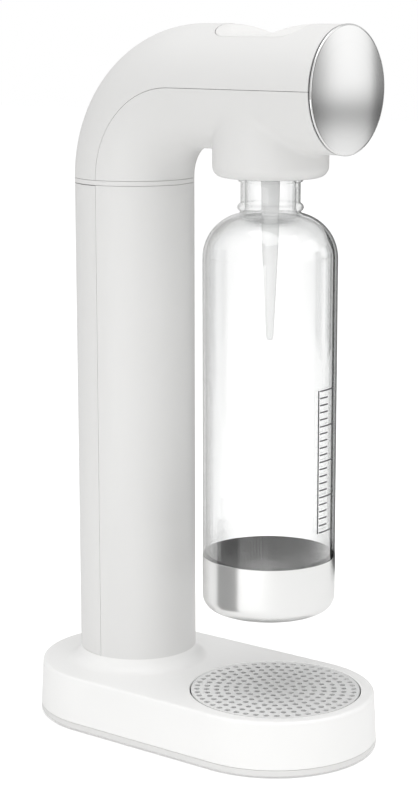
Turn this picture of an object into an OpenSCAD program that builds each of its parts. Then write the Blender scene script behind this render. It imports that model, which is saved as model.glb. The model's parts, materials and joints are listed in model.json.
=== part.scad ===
// Soda carbonator: a bent tube on a stadium base, with a bottle hanging under its head.
// Origin: centre of the footprint on the table. +Z up, the round end plate faces -Y.

/* [Base] */
// Distance between the centres of the base's two round ends
base_pitch = 112; // [100:1:140]
// Radius of the round ends at the top edge
base_r = 63.3; // [62:0.1:75]
// How much wider the base is at its bottom edge, on each side
base_flare = 1.6; // [0.5:0.1:3]
// Height of the base's top face
base_h = 35.5; // [34:0.5:45]
// Wall of the base shell
base_wall = 2.5; // [2:0.1:3.5]
// Rounding of the base's top edge
base_round = 2; // [1:0.1:3]
// Height of the joint between base plate and base shell
plate_h = 5.4; // [5:0.1:7]
// Thickness of the base plate's floor
plate_floor = 3; // [2.5:0.1:4]
// How far the rubber feet stand out below the base plate
foot_h = 1; // [0.5:0.1:2]

/* [Gas cylinder and column] */
// Radius of the carbon dioxide cylinder
cyl_r = 30.15; // [25:0.05:37]
// Gap between cylinder and inner frame
cyl_gap = 0.85; // [0.6:0.05:1.5]
// Wall of the inner frame
frame_wall = 2; // [1.6:0.1:3]
// Gap between inner frame and column shells
frame_gap = 2.5; // [2.2:0.1:4]
// Wall of the column and head shells
tube_wall = 2.5; // [2:0.1:3]
// Radius of the concave foot where the column meets the base
foot_fillet = 8.5; // [5:0.5:10]
// Width of the seams between shells
seam = 0.25; // [0.15:0.05:0.4]
// Height of the narrow ring between column and head
ring_h = 3.3; // [2.5:0.1:5]

/* [Head] */
// Radius of the bend, at the tube's centre line
bend_r = 58.2; // [54:0.1:70]
// Length of the head in front of the bottle's axis
nose = 53.9; // [50:0.1:70]
// How high the tube's centre line runs above the collar's lower face
collar_drop = 53.3; // [52:0.1:60]
// Rounding of the collar's lower edge
collar_round = 7; // [5:0.5:8]
// Crown of the round end plate
plate_crown = 1.6; // [0.5:0.1:3]

/* [Bottle] */
// Radius of the bottle's body
bottle_r = 41.3; // [33:0.1:50]
// Height of the bottle from its cup's base to its rim
bottle_h = 287; // [235:1:350]
// Free height between base and bottle
bottle_gap = 52.5; // [50:0.5:80]
// Radius of the bottle's neck
neck_r = 18.2; // [15:0.1:20]
// Wall of the bottle
bottle_wall = 1.8; // [1.2:0.1:2.5]
// Height of the steel cup round the bottle's base
cup_h = 35.2; // [28:0.1:45]
// Wall of the steel cup
cup_wall = 0.7; // [0.5:0.1:1]
// How far the neck reaches up past the collar's lower face
neck_reach = 17; // [16:0.5:18]

/* [Button] */
// Width of the button across the head
button_w = 45.4; // [40:0.1:48]
// Length of the button along the head
button_len = 62.5; // [56:0.5:66]
// Radius of the button's corners, seen from above
button_corner = 11; // [8:0.5:14]
// Depth of the finger hollow across the button
hollow_depth = 6.8; // [4:0.1:7]
// Length of the finger hollow along the head
hollow_len = 62; // [50:1:62]
// How far the button is pressed
press = 6; // [4:0.5:6]

/* [Drip tray] */
// Radius of the drip grid
grid_r = 53.4; // [44:0.1:54]
// How far the grid's centre lies ahead of the bottle's axis
grid_ahead = 5.6; // [0:0.1:8]
// Radius of the grid's holes
hole_r = 1.9; // [1.5:0.1:2.2]
// Distance between the grid's rings of holes
hole_pitch = 6.2; // [5.2:0.1:6.8]
// Thickness of the grid
grid_t = 1.4; // [1:0.1:2]
// Gap round the grid and the tray
tray_gap = 0.8; // [0.5:0.1:1.2]

/* [Hidden] */
$fn = 96;

eps = 0.01;
touch = 0.2;                     // gap between pieces that press on each other
run = 0.05;                      // running clearance of a pin in its bore

// Radii, from the cylinder outwards
frame_in = cyl_r + cyl_gap;
frame_out = frame_in + frame_wall;
tube_in = frame_out + frame_gap;
tube_r = tube_in + tube_wall;

// Places along Y
col_y = base_pitch / 2;
grid_y = -base_pitch / 2 - 1;
bottle_y = grid_y + grid_ahead;
bend_y = col_y - bend_r;
head_end = bottle_y - nose;
button_y = bottle_y - 1;

// Heights, from the table upwards
floor_z = foot_h + plate_floor;
bottle_z = base_h + bottle_gap;
rim_z = bottle_z + bottle_h;
collar_z = rim_z - neck_reach;
head_z = collar_z + collar_drop;
bend_z = head_z - bend_r;
ring_z = bend_z - ring_h;
foot_top = base_h + foot_fillet;

// Base and drip tray
skin = 3;                        // top skin of the base
well_r = grid_r + tray_gap;
well_wall = 2;
well_floor = floor_z + 5.5;
tray_wall = 2;
tray_z = well_floor + 2 + 0.3;
grid_top = base_h - 0.3;
tray_top = grid_top - grid_t - touch;
hole_rings = floor((grid_r - hole_r - 1.2) / hole_pitch);
screw_r = 1.5;
base_screw_places = [for (s = [-1, 1])
    each [[s * (base_r - 13.5), col_y + 6], [s * (base_r - 11.5), 10], [s * 30, grid_y]]];
foot_places = [for (s = [-1, 1], y = [-1, 1]) [s * 36, y * (base_pitch / 2 + 16)]];

// Gas side
deck_t = 4;
cradle_floor = 4;
cradle_h = 20;
cyl_z = floor_z + cradle_floor + touch;
block_h = 30.2;                  // valve block above the frame's deck
block_top = ring_z + block_h;
valve_top = ring_z + 19;
valve_r = 10.4;
valve_bore = valve_r + 0.1;
chamber_z = valve_top + 2.2;
plunger_r = 4;
plunger_head_r = 7;
pivot_y = col_y + 18;
pivot_z = block_top + 8;
pin_r = 2.5;
lever_w = 11;
lever_t = 8;
ear_in = lever_w / 2 + 1.5;
ear_out = ear_in + 5;
plunger_top = block_top + 7;
port_z = block_top - 5.5;
valve_body_r = 20;
valve_flange_r = 27;

// Head side
collar_wall = tube_wall;
ring_bore = neck_r + 2;
block_r = ring_bore + 10.8;
collar_in = block_r + 1.9;
collar_r = collar_in + collar_wall;
shelf_z = collar_z + collar_wall;
seal_z = rim_z + 0.3;
block_z = seal_z + 2.7;
carb_top = block_z + 20;
inlet_z = block_z + 10;
block_screw_x = block_r - 6.5;
valve_x = block_screw_x - 11.5;
tube_top = head_z + tube_r;
cap_z = tube_top - hollow_depth - 3;
skirt_z = cap_z - 6.5;
guide_t = 3;
guide_z = skirt_z - press - 3 - guide_t;
skirt_wall = 2.2;
post_x = 14;
post_r = 3;
pusher_z = skirt_z - 1;
pad_z = pusher_z - touch - lever_t / 2;
hose_r = 3.5;
barb_r = 2;
nut_len = 6;
barb_len = 8;
hose_y1 = col_y - valve_body_r - nut_len;
hose_y2 = bottle_y + block_r + nut_len;
probe_shoulder_z = rim_z - 59;
probe_end_z = rim_z - 114;
tip_z = rim_z - 116.5;

// A drawing in Y and Z, with its third direction along X
module side_on() rotate([90, 0, 90]) children();

// A drawing in X and Z, with its third direction towards the front
module front_on(y, z) translate([0, y, z]) rotate([90, 0, 0]) children();

// A stadium solid swept from a half profile of radius and height, between two centres
module stadium_sweep(pitch) {
    for (s = [-1, 1]) translate([0, s * pitch / 2, 0]) rotate_extrude() children();
    rotate([90, 0, 0]) linear_extrude(pitch, center = true) {
        children();
        mirror([1, 0]) children();
    }
}

// A flat stadium lying along Y
module stadium(r, pitch) {
    for (s = [-1, 1]) translate([0, s * pitch / 2]) circle(r);
    square([2 * r, pitch], center = true);
}

// Plan of the button: a rectangle with round corners, set in from its outline
module button_plan(inset) {
    side = button_w / 2 - button_corner;
    end = button_len / 2 - button_corner;
    for (sx = [-1, 1], sy = [-1, 1]) translate([sx * side, sy * end]) circle(button_corner - inset);
    square([button_w - 2 * inset, 2 * end], center = true);
    square([2 * side, button_len - 2 * inset], center = true);
}

// Half profile of the base: straight drafted side with a rounded top edge
module base_profile(inset, low, top, round_r) {
    difference() {
        polygon([[0, low], [base_r + base_flare - inset, low], [base_r - inset, top], [0, top]]);
        translate([base_r - inset - round_r, top - round_r]) difference() {
            square(2 * round_r);
            circle(round_r);
        }
    }
}

module boss(r, bore, low, high) {
    difference() {
        translate([0, 0, low]) cylinder(r = r, h = high - low);
        translate([0, 0, low - 1]) cylinder(r = bore, h = high - low + 2);
    }
}

// Half of the tube's wall, above (1) or below (-1) the seam
module half_wall(side) {
    difference() {
        circle(tube_r);
        circle(tube_in);
        translate([-2 * tube_r, side > 0 ? -2 * tube_r : -seam / 2])
            square([4 * tube_r, 2 * tube_r + seam / 2]);
    }
}

// Half of the bent tube: outside (1) or inside (-1) of the bend, and on to the head's end
module head_half(side) {
    translate([0, bend_y, bend_z]) side_on()
        rotate_extrude(angle = 90) translate([bend_r, 0]) rotate(-90) half_wall(side);
    front_on(bend_y, head_z) linear_extrude(bend_y - head_end) half_wall(side);
}

// A screw with its head up, the head's seat at height 0
module screw(len, head_r, head_h) {
    cylinder(r = head_r, h = head_h);
    translate([0, 0, -len]) cylinder(r = screw_r, h = len + eps);
}

// A coil spring drawn as stacked turns on a thin sleeve
module spring(r, wire, low, high) {
    turns = floor((high - low) / (2 * wire));
    step = (high - low - wire) / turns;
    rotate_extrude() {
        for (i = [0:turns]) translate([r, low + wire / 2 + i * step]) circle(wire / 2);
        translate([r - wire / 8, low + wire / 2]) square([wire / 4, high - low - wire]);
    }
}

module base_plate() {
    color("whitesmoke") difference() {
        union() {
            stadium_sweep(base_pitch) polygon([
                [0, foot_h], [base_r + base_flare - 0.8, foot_h], [base_r + base_flare, foot_h + 0.8],
                [base_r + base_flare, plate_h], [0, plate_h]]);
            stadium_sweep(base_pitch) translate([0, plate_h - eps])
                square([base_r - base_wall - 0.2, 2.6]);
        }
        stadium_sweep(base_pitch) translate([0, floor_z])
            square([base_r - base_wall - 3, base_h]);
        for (p = foot_places) translate([p[0], p[1], foot_h - 1]) cylinder(r = 8, h = 2.5);
        for (p = base_screw_places) translate([p[0], p[1], 0]) {
            cylinder(r = 3.2, h = foot_h + 1.6);
            cylinder(r = screw_r, h = base_h);
        }
    }
}

module rubber_feet() {
    color("dimgray") for (p = foot_places) translate([p[0], p[1], 0]) rotate_extrude() polygon([
        [0, 0], [7.2, 0], [8, 0.8], [8, foot_h + 1.5], [0, foot_h + 1.5]]);
}

module base_screws() {
    color("silver") for (p = base_screw_places)
        translate([p[0], p[1], foot_h + 1.6]) mirror([0, 0, 1]) screw(6.8, 3, 1.4);
}

module base_shell() {
    low = plate_h + seam;
    color("whitesmoke") difference() {
        union() {
            difference() {
                stadium_sweep(base_pitch) base_profile(0, low, base_h, base_round);
                stadium_sweep(base_pitch) base_profile(base_wall, low - 1, base_h - skin, base_round);
            }
            // Foot of the column, with its concave fillet
            translate([0, col_y, 0]) rotate_extrude() difference() {
                translate([tube_in, base_h - skin]) square([tube_wall + foot_fillet, foot_fillet + skin]);
                translate([tube_r + foot_fillet, foot_top]) circle(foot_fillet);
            }
            for (p = base_screw_places) if (p[1] != grid_y)
                translate([p[0], p[1], 0]) boss(4, screw_r, floor_z, base_h - skin + eps);
        }
        translate([0, col_y, 0]) cylinder(r = tube_in, h = foot_top + 1);
        translate([0, grid_y, 0]) rotate_extrude() {
            square([well_r, base_h + 1]);
            // Rounded lip of the well
            difference() {
                translate([0, base_h - 0.8]) square([well_r + 0.8, 2]);
                translate([well_r + 0.8, base_h - 0.8]) circle(0.8);
            }
        }
    }
}

// The cup under the base's round opening that the drip tray stands in
module tray_well() {
    top = base_h - skin;
    color("whitesmoke") {
        translate([0, grid_y, 0]) difference() {
            translate([0, 0, well_floor]) cylinder(r = well_r + well_wall, h = top - well_floor);
            translate([0, 0, well_floor + 2]) cylinder(r = well_r, h = base_h);
        }
        for (p = base_screw_places) if (p[1] == grid_y)
            translate([p[0], p[1], 0]) boss(4, screw_r, floor_z, well_floor + eps);
    }
}

module drip_tray() {
    color("whitesmoke") translate([0, grid_y, 0]) rotate_extrude() difference() {
        polygon([[0, tray_z], [grid_r - 3, tray_z], [grid_r, tray_z + 3], [grid_r, tray_top], [0, tray_top]]);
        polygon([[0, tray_z + tray_wall], [grid_r - 4, tray_z + tray_wall],
                 [grid_r - tray_wall, tray_z + 4], [grid_r - tray_wall, base_h], [0, base_h]]);
    }
}

module drip_grid() {
    color("silver") translate([0, grid_y, 0]) {
        translate([0, 0, grid_top - grid_t]) linear_extrude(grid_t) difference() {
            circle(grid_r);
            circle(hole_r);
            for (n = [1:hole_rings], i = [0:6 * n - 1])
                rotate(i * 60 / n) translate([n * hole_pitch, 0]) circle(hole_r);
        }
        // Skirt that centres the grid in the tray
        rotate_extrude() translate([grid_r - tray_wall - 1, grid_top - grid_t - 3]) square([0.7, 3 + eps]);
    }
}

module cylinder_cradle() {
    color("gainsboro") translate([0, col_y, 0]) difference() {
        translate([0, 0, floor_z]) cylinder(r = frame_out, h = cradle_h);
        translate([0, 0, floor_z + cradle_floor]) cylinder(r = cyl_r + 0.4, h = cradle_h);
        translate([0, 0, floor_z - 1]) cylinder(r = 12, h = cradle_h);
    }
}

module inner_frame() {
    low = floor_z + cradle_h;
    window = (ring_z - low) / 4;
    color("gainsboro") translate([0, col_y, 0]) difference() {
        union() {
            translate([0, 0, low]) cylinder(r = frame_out, h = ring_z - low);
            // The deck's front edge fits the column's front shell
            translate([0, 0, ring_z - deck_t]) intersection() {
                cylinder(r = tube_in, h = deck_t);
                translate([-tube_r, -tube_r, 0]) cube([2 * tube_r, tube_r - 2, deck_t]);
            }
        }
        translate([0, 0, low - 1]) cylinder(r = frame_in, h = ring_z - deck_t - low + 1);
        // The frame is open towards the rear cover, between the cradle's rim and the deck
        translate([-tube_r, 0, low - 1]) cube([2 * tube_r, tube_r, ring_z - deck_t - low + 1]);
        for (i = [0:3]) translate([0, 0, low + (i + 0.5) * window]) rotate([90, 0, 0])
            linear_extrude(tube_r) stadium(8, window - 36);
        translate([0, 0, ring_z - deck_t - 1]) cylinder(r = valve_r + 1.6, h = deck_t + 2);
        for (a = [45:90:315]) rotate(a) translate([23.5, 0, ring_z - deck_t - 1])
            cylinder(r = screw_r, h = deck_t + 2);
    }
}

module column_front_shell() {
    color("whitesmoke") translate([0, col_y, foot_top])
        linear_extrude(ring_z - foot_top) half_wall(-1);
}

module rear_cover() {
    clip_in = frame_out + 0.3;
    color("whitesmoke") translate([0, col_y, 0]) {
        translate([0, 0, foot_top + seam]) linear_extrude(ring_z - foot_top - 2 * seam) half_wall(1);
        // Clips that reach past the seam, between the frame and the front shell
        for (s = [-1, 1], t = [0.15, 0.5, 0.85])
            translate([0, 0, foot_top + t * (ring_z - foot_top) - 6])
                mirror([s < 0 ? 1 : 0, 0, 0]) {
                    translate([clip_in, -6, 0]) cube([1.2, 7, 12]);
                    translate([clip_in, 0.3, 0]) cube([tube_in + 1 - clip_in, 3, 12]);
                }
    }
}

module column_ring() {
    band_in = tube_in + 1.3;
    color("whitesmoke") translate([0, col_y, 0]) rotate_extrude() {
        translate([tube_in, ring_z]) square([1.3, ring_h]);
        translate([band_in - eps, ring_z + seam]) square([tube_r - band_in + eps, ring_h - 2 * seam]);
    }
}

module gas_cylinder() {
    shoulder = ring_z - 48;
    color("slategray") translate([0, col_y, 0]) rotate_extrude() difference() {
        union() {
            translate([0, cyl_z]) square([cyl_r - 6, 10]);
            translate([0, cyl_z + 6]) square([cyl_r, shoulder - cyl_z - 6]);
            intersection() {
                translate([cyl_r - 6, cyl_z + 6]) circle(6);
                square([cyl_r, ring_z]);
            }
            intersection() {
                translate([0, shoulder]) circle(cyl_r);
                square([cyl_r, ring_z - 20]);
            }
            translate([0, shoulder]) square([13, ring_z - 16 - shoulder]);
        }
        // Hollow, with its foot dished inwards
        translate([0, cyl_z + 10]) square([cyl_r - 2.4, shoulder - cyl_z - 10]);
        intersection() {
            translate([0, shoulder]) circle(cyl_r - 2.4);
            translate([0, shoulder - eps]) square([cyl_r, cyl_r]);
        }
        intersection() {
            translate([0, cyl_z - 36]) circle(42);
            square([cyl_r, ring_z]);
        }
        translate([0, shoulder]) square([7, cyl_r + 20]);
    }
}

module cylinder_valve() {
    low = ring_z - 16;
    color("goldenrod") translate([0, col_y, 0]) difference() {
        union() {
            translate([0, 0, low]) cylinder(r = 12.5, h = 4);
            translate([0, 0, low - 12]) cylinder(r = 7, h = 14);
            translate([0, 0, low + 4 - eps]) cylinder(r = 11, h = 8, $fn = 6);
            translate([0, 0, low + 8]) cylinder(r = valve_r, h = valve_top - low - 8);
        }
        translate([0, 0, low - 13]) cylinder(r = 2.4, h = valve_top - low + 14);
    }
}

module valve_stem() {
    color("silver") translate([0, col_y, valve_top - 20])
        cylinder(r = 2.4 - run, h = 20 + chamber_z - valve_top);
}

module valve_seal() {
    color("dimgray") translate([0, col_y, 0]) boss(valve_bore, plunger_r + 0.4, valve_top + 0.3, chamber_z);
}

module valve_block() {
    color("silver") difference() {
        union() {
            translate([0, col_y, ring_z]) {
                cylinder(r = valve_flange_r, h = 4);
                cylinder(r = valve_body_r, h = block_h);
            }
            for (s = [-1, 1]) translate([s * (ear_in + ear_out) / 2, 0, 0]) side_on()
                linear_extrude(ear_out - ear_in, center = true) {
                    translate([pivot_y, pivot_z]) circle(5.5);
                    translate([pivot_y - 5.5, ring_z + 2]) square([11, pivot_z - ring_z - 2]);
                }
        }
        translate([0, col_y, ring_z - 1]) cylinder(r = valve_bore, h = chamber_z - ring_z + 1);
        translate([0, col_y, ring_z]) cylinder(r = plunger_r + run, h = block_h + 1);
        translate([-20, pivot_y, pivot_z]) rotate([0, 90, 0]) cylinder(r = pin_r, h = 40);
        translate([0, col_y, port_z]) rotate([90, 0, 0]) cylinder(r = barb_r, h = 30);
        for (a = [45:90:315]) translate([0, col_y, ring_z - 1]) rotate(a) translate([23.5, 0, 0])
            cylinder(r = screw_r, h = 10);
    }
}

module valve_block_screws() {
    color("silver") translate([0, col_y, ring_z + 4]) for (a = [45:90:315]) rotate(a)
        translate([23.5, 0, 0]) screw(7.5, 3.1, 2.6);
}

module plunger() {
    color("silver") translate([0, col_y, 0]) {
        translate([0, 0, chamber_z]) cylinder(r = plunger_r, h = plunger_top - chamber_z);
        translate([0, 0, plunger_top - 2]) cylinder(r = plunger_head_r, h = 2);
    }
}

module plunger_spring() {
    color("silver") translate([0, col_y, 0]) spring(5.6, 1, block_top, plunger_top - 2);
}

module lever() {
    run_y = bottle_y - pivot_y;
    run_z = pad_z - pivot_z;
    color("silver") side_on() linear_extrude(lever_w, center = true) difference() {
        union() {
            translate([pivot_y, pivot_z]) {
                circle(6);
                rotate(atan2(run_z, run_y)) translate([0, -lever_t / 2])
                    square([norm([run_y, run_z]), lever_t]);
            }
            translate([bottle_y, pad_z]) circle(lever_t / 2);
            // Nose that presses on the plunger
            translate([col_y, plunger_top + touch + 4]) circle(4);
        }
        translate([pivot_y, pivot_z]) circle(pin_r + run);
        // A flat that keeps a level arm off the plunger's head
        translate([col_y - plunger_head_r, plunger_top + touch - lever_t])
            square([2 * plunger_head_r, lever_t]);
    }
}

module lever_pin() {
    color("silver") translate([-ear_out - 1, pivot_y, pivot_z]) rotate([0, 90, 0])
        cylinder(r = pin_r, h = 2 * ear_out + 2);
}

// A hose fitting with its nut's face at the origin, its barb along local Z
module fitting() {
    difference() {
        union() {
            cylinder(r = 5, h = nut_len, $fn = 6);
            cylinder(r = barb_r, h = nut_len + barb_len);
        }
        translate([0, 0, -1]) cylinder(r = 1, h = nut_len + barb_len + 2);
    }
}

module hose_fittings() {
    color("goldenrod") {
        translate([0, hose_y1 + nut_len, port_z]) rotate([90, 0, 0]) fitting();
        translate([0, hose_y2 - nut_len, inlet_z]) rotate([-90, 0, 0]) fitting();
    }
}

// The hose is pushed over both barbs and makes a smooth S between them
module gas_hose() {
    rings = 24;
    sides = 12;
    route = [for (i = [0:rings]) let (t = i / rings)
        [0, hose_y1 + (hose_y2 - hose_y1) * t,
         port_z + (inlet_z - port_z) * (1 - cos(180 * t)) / 2]];
    points = [for (i = [0:rings])
        let (ahead = route[min(i + 1, rings)] - route[max(i - 1, 0)],
             lean = i == 0 || i == rings ? 0 : atan2(ahead[2], -ahead[1]))
        for (k = [0:sides - 1]) let (a = 360 * k / sides)
            route[i] + hose_r * [cos(a), sin(a) * sin(lean), sin(a) * cos(lean)]];
    skin_faces = [for (i = [0:rings - 1], k = [0:sides - 1]) let (n = (k + 1) % sides)
        [i * sides + k, i * sides + n, (i + 1) * sides + n, (i + 1) * sides + k]];
    ends = [[for (k = [sides - 1:-1:0]) k], [for (k = [0:sides - 1]) rings * sides + k]];
    color("dimgray") polyhedron(points, concat(skin_faces, ends));
}

// The collar's outline, and its inside when set in by the wall
module collar_profile(inset, top) {
    r = collar_r - inset;
    low = collar_z + inset;
    round_r = collar_round - inset;
    difference() {
        translate([0, low]) square([r, top - low]);
        translate([r - round_r, low + round_r]) rotate(-90) difference() {
            square(2 * round_r);
            circle(round_r);
        }
    }
}

module head_lower_shell() {
    top = head_z - seam / 2;
    color("whitesmoke") difference() {
        union() {
            head_half(-1);
            translate([0, bottle_y, 0]) rotate_extrude() collar_profile(0, top);
        }
        translate([0, bottle_y, 0]) rotate_extrude() collar_profile(collar_wall, head_z);
        translate([0, bottle_y, collar_z - 1]) cylinder(r = neck_r + 3.8, h = 20);
        front_on(bottle_y + collar_r + 1, head_z) cylinder(r = tube_in, h = 2 * collar_r + 2);
    }
}

module head_upper_shell() {
    color("whitesmoke") difference() {
        head_half(1);
        translate([0, button_y, head_z]) linear_extrude(tube_r + 1)
            button_plan(-seam);
    }
}

module thread_ring() {
    color("gainsboro") translate([0, bottle_y, 0]) rotate_extrude() difference() {
        polygon([[0, shelf_z], [block_r - 3.5, shelf_z], [block_r, shelf_z + 4.5], [block_r, block_z],
                 [0, block_z]]);
        translate([0, collar_z]) square([ring_bore, block_z]);
    }
}

module bottle_seal() {
    color("dimgray") translate([0, bottle_y, 0]) boss(ring_bore, ring_bore - 8, seal_z, block_z);
}

module carbonation_block() {
    color("gainsboro") translate([0, bottle_y, 0]) difference() {
        translate([0, 0, block_z]) cylinder(r = block_r, h = 20);
        translate([0, 0, block_z - 1]) cylinder(r = 3.5, h = 13);
        translate([0, 0, inlet_z]) rotate([-90, 0, 0]) cylinder(r = 1.5, h = block_r + 1);
        for (s = [-1, 1]) translate([s * valve_x, 0, 0]) {
            translate([0, 0, block_z - 1]) cylinder(r = 2, h = 10);
            translate([0, 0, block_z + 6]) cylinder(r = 5, h = 20);
        }
        for (a = [0, 180, 270]) rotate(a) translate([block_screw_x, 0, block_z - 1])
            cylinder(r = screw_r, h = 25);
    }
}

module block_screws() {
    color("silver") translate([0, bottle_y, carb_top]) for (a = [0, 180, 270]) rotate(a)
        translate([block_screw_x, 0, 0]) screw(20, 3, 2.6);
}

module nozzle_probe() {
    bore = 1.2;
    color("white") translate([0, bottle_y, 0]) rotate_extrude() polygon([
        [bore, probe_end_z], [2.3, probe_end_z], [5, probe_shoulder_z], [6.1, block_z - 2],
        [9, block_z - 2], [9, block_z], [3.5, block_z], [3.5, block_z + 12], [bore, block_z + 12]]);
}

module nozzle_tip() {
    color("gainsboro") translate([0, bottle_y, 0]) rotate_extrude() difference() {
        union() {
            polygon([[0, tip_z], [1.5, tip_z], [2.1, tip_z + 1], [2.2, probe_end_z], [0, probe_end_z]]);
            translate([0, probe_end_z - eps]) square([1.2, 6]);
        }
        translate([0, tip_z - 1]) square([0.6, 12]);
    }
}

module relief_poppet() {
    color("silver") translate([-valve_x, bottle_y, block_z + 6 + touch]) {
        cylinder(r = 4.7, h = 3);
        cylinder(r = 1.4, h = 9);
    }
}

module relief_spring() {
    color("silver") translate([-valve_x, bottle_y, 0]) spring(2.9, 0.8, block_z + 9.2, carb_top - 2);
}

module relief_cap() {
    color("goldenrod") translate([-valve_x, bottle_y, 0]) difference() {
        union() {
            translate([0, 0, carb_top - 2]) cylinder(r = 5, h = 2 + eps);
            translate([0, 0, carb_top]) cylinder(r = 6.5, h = 4, $fn = 6);
        }
        translate([0, 0, carb_top - 3]) cylinder(r = 1.8, h = 8);
    }
}

module safety_valve() {
    color("goldenrod") translate([valve_x, bottle_y, 0]) difference() {
        union() {
            translate([0, 0, block_z + 6]) cylinder(r = 5, h = carb_top - block_z - 6 + eps);
            translate([0, 0, carb_top]) cylinder(r = 6.5, h = 4, $fn = 6);
            translate([0, 0, carb_top + 4 - eps]) cylinder(r = 4, h = 3);
        }
        translate([0, 0, block_z + 5]) cylinder(r = 1.5, h = 16);
    }
}

module button_guide() {
    color("gainsboro") translate([0, bottle_y, 0]) {
        difference() {
            translate([-28, -28, guide_z]) cube([56, 56, guide_t]);
            for (s = [-1, 1]) translate([s * post_x, 0, guide_z - 1]) cylinder(r = post_r + run, h = 5);
            translate([-lever_w / 2 - 2, -8, guide_z - 1]) cube([lever_w + 4, 40, 5]);
        }
        for (x = [-14, 14], y = [-23, 23]) translate([x, y, carb_top])
            cylinder(r = 3, h = guide_z - carb_top + eps);
    }
}

module button_springs() {
    color("silver") for (s = [-1, 1]) translate([s * post_x, bottle_y, 0])
        spring(4.4, 1, guide_z + guide_t, cap_z);
}

// Side outline of the button: flat, with a hollow made of equal arcs, hollow then crowned
module hollow_outline() {
    q = hollow_len / 4;
    arc_r = (q * q + pow(hollow_depth / 2, 2)) / hollow_depth;
    difference() {
        translate([button_y - button_len, skirt_z]) square([2 * button_len, tube_top - skirt_z + 1]);
        translate([bottle_y, 0]) {
            intersection() {
                translate([0, tube_top - hollow_depth + arc_r]) circle(arc_r);
                translate([-q, skirt_z]) square([2 * q, 2 * tube_r]);
            }
            for (s = [-1, 1]) difference() {
                translate([s > 0 ? q - eps : -2 * q, tube_top - hollow_depth / 2])
                    square([q + eps, hollow_depth]);
                translate([s * 2 * q, tube_top - arc_r]) circle(arc_r);
            }
        }
    }
}

module button() {
    color("white") {
        difference() {
            intersection() {
                translate([0, button_y, skirt_z]) linear_extrude(tube_top - skirt_z + 1)
                    button_plan(0);
                front_on(button_y + button_len, head_z) cylinder(r = tube_r, h = 2 * button_len);
                side_on() linear_extrude(2 * tube_r, center = true) hollow_outline();
            }
            translate([0, button_y, skirt_z - 1]) linear_extrude(cap_z - skirt_z + 1)
                button_plan(skirt_wall);
        }
        for (s = [-1, 1]) translate([s * post_x, bottle_y, guide_z - 3])
            cylinder(r = post_r, h = cap_z - guide_z + 3 + eps);
        translate([0, bottle_y, pusher_z]) cylinder(r = 5, h = cap_z - pusher_z + eps);
    }
}

module disc_carrier() {
    color("dimgray") front_on(head_end, head_z) difference() {
        union() {
            cylinder(r = tube_r - 0.7, h = 1.2);
            translate([0, 0, -7]) cylinder(r = tube_in, h = 7 + eps);
        }
        translate([0, 0, -8]) cylinder(r = tube_in - 2.5, h = 6);
    }
}

// The end plate's face is a shallow crown, highest at its centre
module front_disc() {
    edge = 1;
    r = tube_r + 0.3;
    steps = 24;
    crown = [for (i = [0:steps]) [r * i / steps, edge + plate_crown * (1 - pow(i / steps, 2))]];
    color("silver") front_on(head_end - 1.2, head_z) rotate_extrude()
        polygon(concat(crown, [[r, 0.4], [r - 0.5, 0], [0, 0]]));
}

// Outline of the bottle, or of its inside when set in by the wall
module bottle_outline(inset, low_r, foot_z) {
    dome = 27.7;
    dome_z = rim_z - 66;
    foot_round = 8.8;
    // Body, its foot inside the cup, and the rounded shoulder
    translate([0, foot_z + foot_round]) square([low_r, cup_h]);
    translate([0, foot_z]) square([low_r - foot_round, foot_round + 1]);
    intersection() {
        translate([low_r - foot_round, foot_z + foot_round]) circle(foot_round);
        translate([0, foot_z]) square([low_r, bottle_h]);
    }
    translate([0, bottle_z + cup_h]) square([bottle_r - inset, dome_z - bottle_z - cup_h]);
    intersection() {
        translate([bottle_r - dome, dome_z]) circle(dome - inset);
        translate([0, dome_z - eps]) square([bottle_r, dome]);
    }
    translate([0, dome_z - eps]) square([bottle_r - dome, dome - inset]);
}

module bottle_body() {
    foot_z = bottle_z + cup_wall;
    punt_r = 46;
    color("lightcyan", 0.4) translate([0, bottle_y, 0]) rotate_extrude() difference() {
        union() {
            bottle_outline(0, bottle_r + 0.2 - cup_wall, foot_z);
            translate([0, rim_z - 45]) square([neck_r, 45]);
            translate([0, rim_z - 19.5]) square([neck_r + 1.6, 1.6]);
            translate([neck_r, rim_z - 35]) circle(2);
            for (i = [0:2]) translate([neck_r, rim_z - 14 + 5 * i]) circle(1.2);
        }
        difference() {
            bottle_outline(bottle_wall, bottle_r - bottle_wall - 0.6, foot_z + 2.4);
            intersection() {
                translate([0, foot_z + 8 - punt_r]) circle(punt_r + 2.2);
                square([bottle_r, rim_z]);
            }
        }
        translate([0, rim_z - 50]) square([neck_r - 2.6, 60]);
        intersection() {
            translate([0, foot_z + 8 - punt_r]) circle(punt_r);
            square([bottle_r, rim_z]);
        }
    }
}

module bottle_base_cup() {
    outer_round = 9.5;
    color("silver") translate([0, bottle_y, bottle_z]) rotate_extrude() difference() {
        cup_half(bottle_r + 0.2, 0, outer_round);
        cup_half(bottle_r + 0.2 - cup_wall, cup_wall, outer_round - cup_wall);
    }
}

module cup_half(r, low, round_r) {
    translate([0, low + round_r]) square([r, cup_h - low - round_r]);
    translate([0, low]) square([r - round_r, round_r + 1]);
    intersection() {
        translate([r - round_r, low + round_r]) circle(round_r);
        translate([0, low]) square([r, cup_h - low]);
    }
}

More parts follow.
